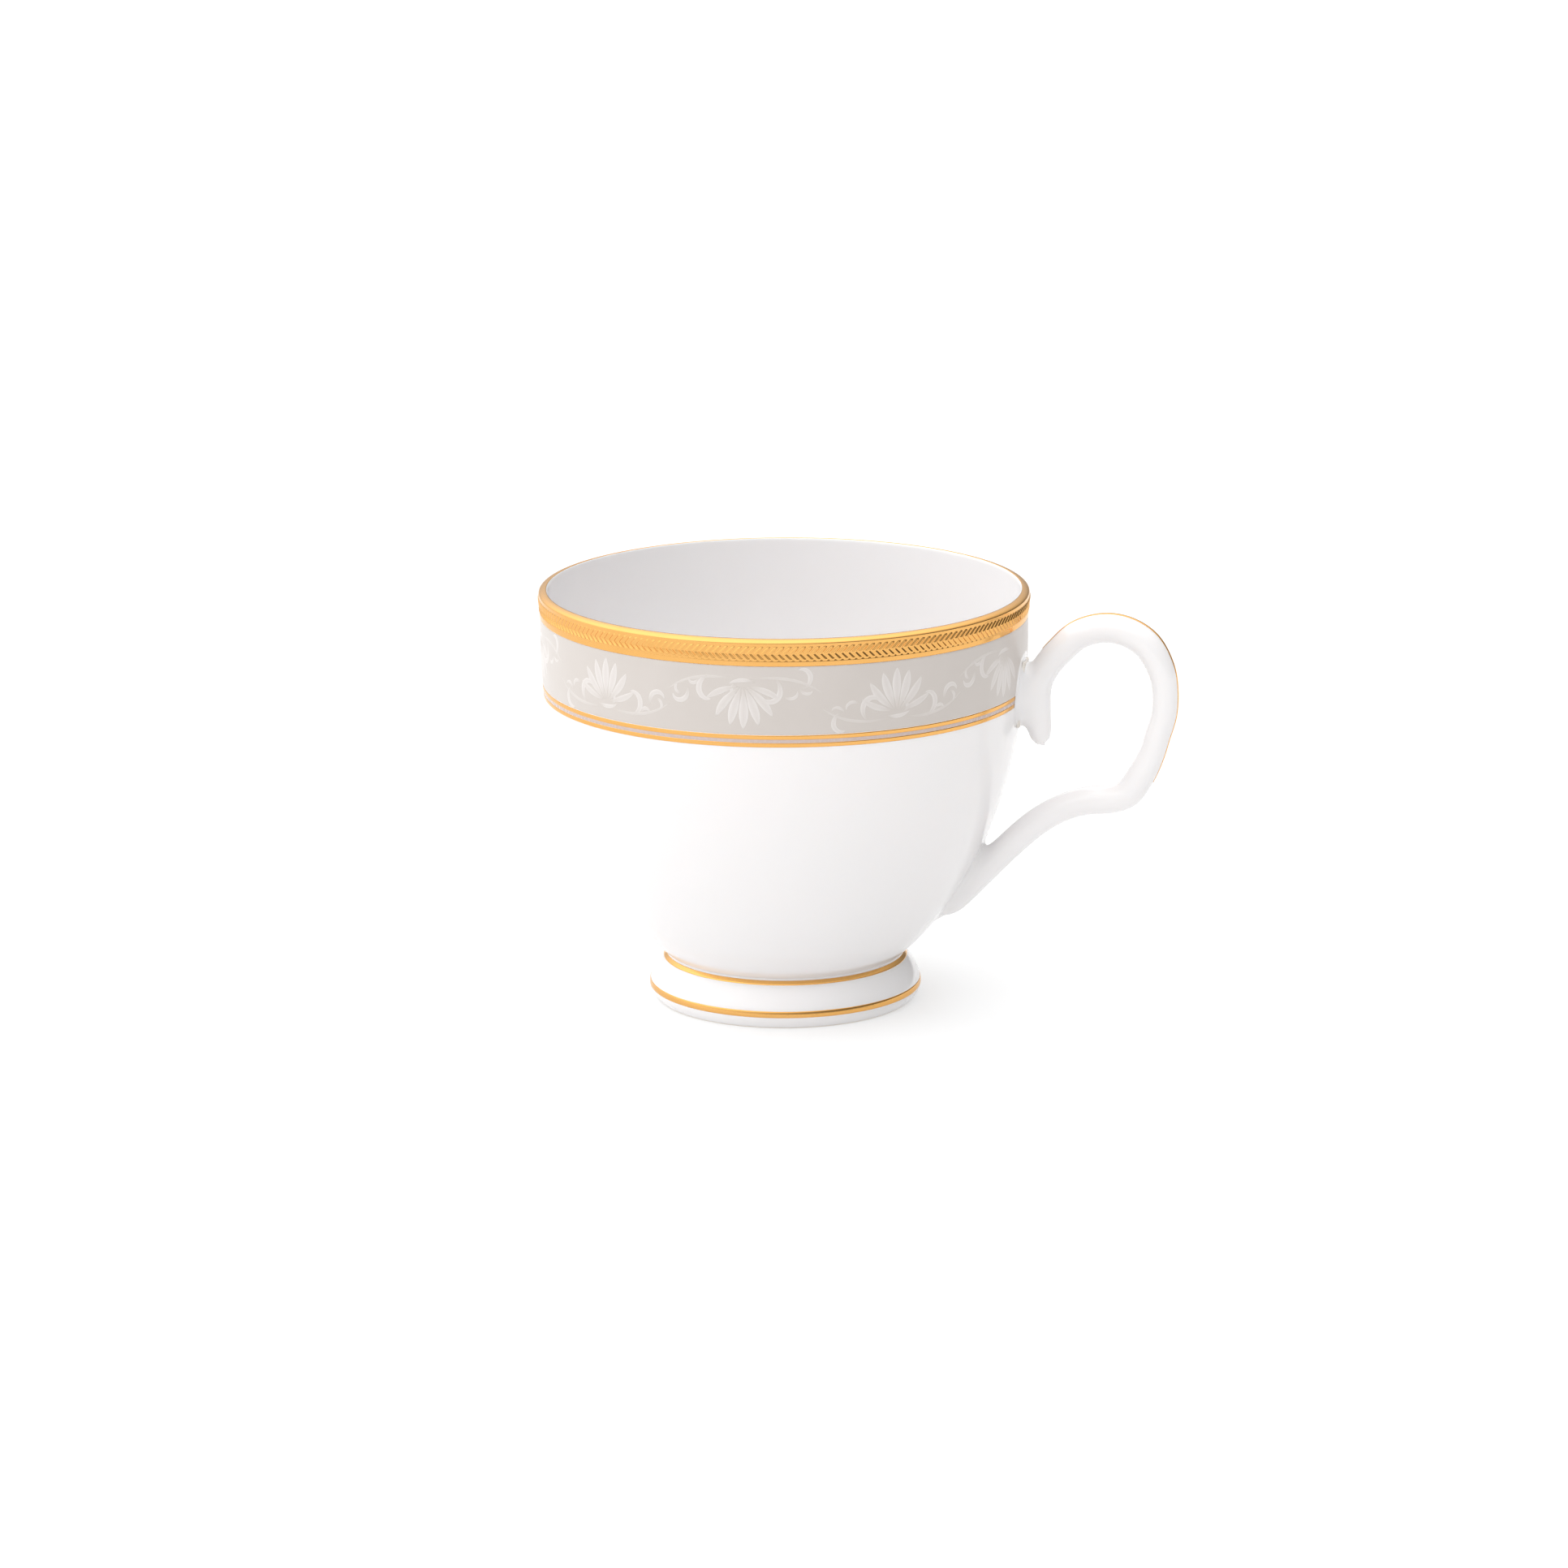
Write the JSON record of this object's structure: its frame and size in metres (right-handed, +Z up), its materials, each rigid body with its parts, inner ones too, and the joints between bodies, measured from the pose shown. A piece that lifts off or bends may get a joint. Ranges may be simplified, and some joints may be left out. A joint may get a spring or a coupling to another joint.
{
  "type": "teacup",
  "caption": "Footed porcelain teacup with a looped handle, gilded rim, beige scrollwork band and gold lines, standing on a flat foot ring.",
  "frame": {"origin": "on the table plane, under the middle of the whole cup with its handle", "axes": "+X from the bowl towards the handle, +Z up, +Y across the cup"},
  "size_m": [0.1116, 0.0848, 0.0728],
  "materials": {
    "glazed_porcelain": "clear gloss glaze over white porcelain",
    "fired_slip": "matt fired clay",
    "burnished_gold": "burnished fired gold",
    "beige_enamel": "silky fired enamel decal",
    "taupe_enamel": "silky fired enamel"
  },
  "bodies": {
    "root": {"bowl": "glazed_porcelain", "foot_ring": "glazed_porcelain", "handle": "glazed_porcelain", "handle_upper_slip": "fired_slip", "handle_lower_slip": "fired_slip", "foot_slip": "fired_slip", "rim_gilding": "burnished_gold", "decal_band": "beige_enamel", "gold_line_upper": "burnished_gold", "taupe_line": "taupe_enamel", "gold_line_lower": "burnished_gold", "foot_line_upper": "burnished_gold", "foot_line_lower": "burnished_gold", "handle_gold_line": "burnished_gold"}
  },
  "joints": []
}
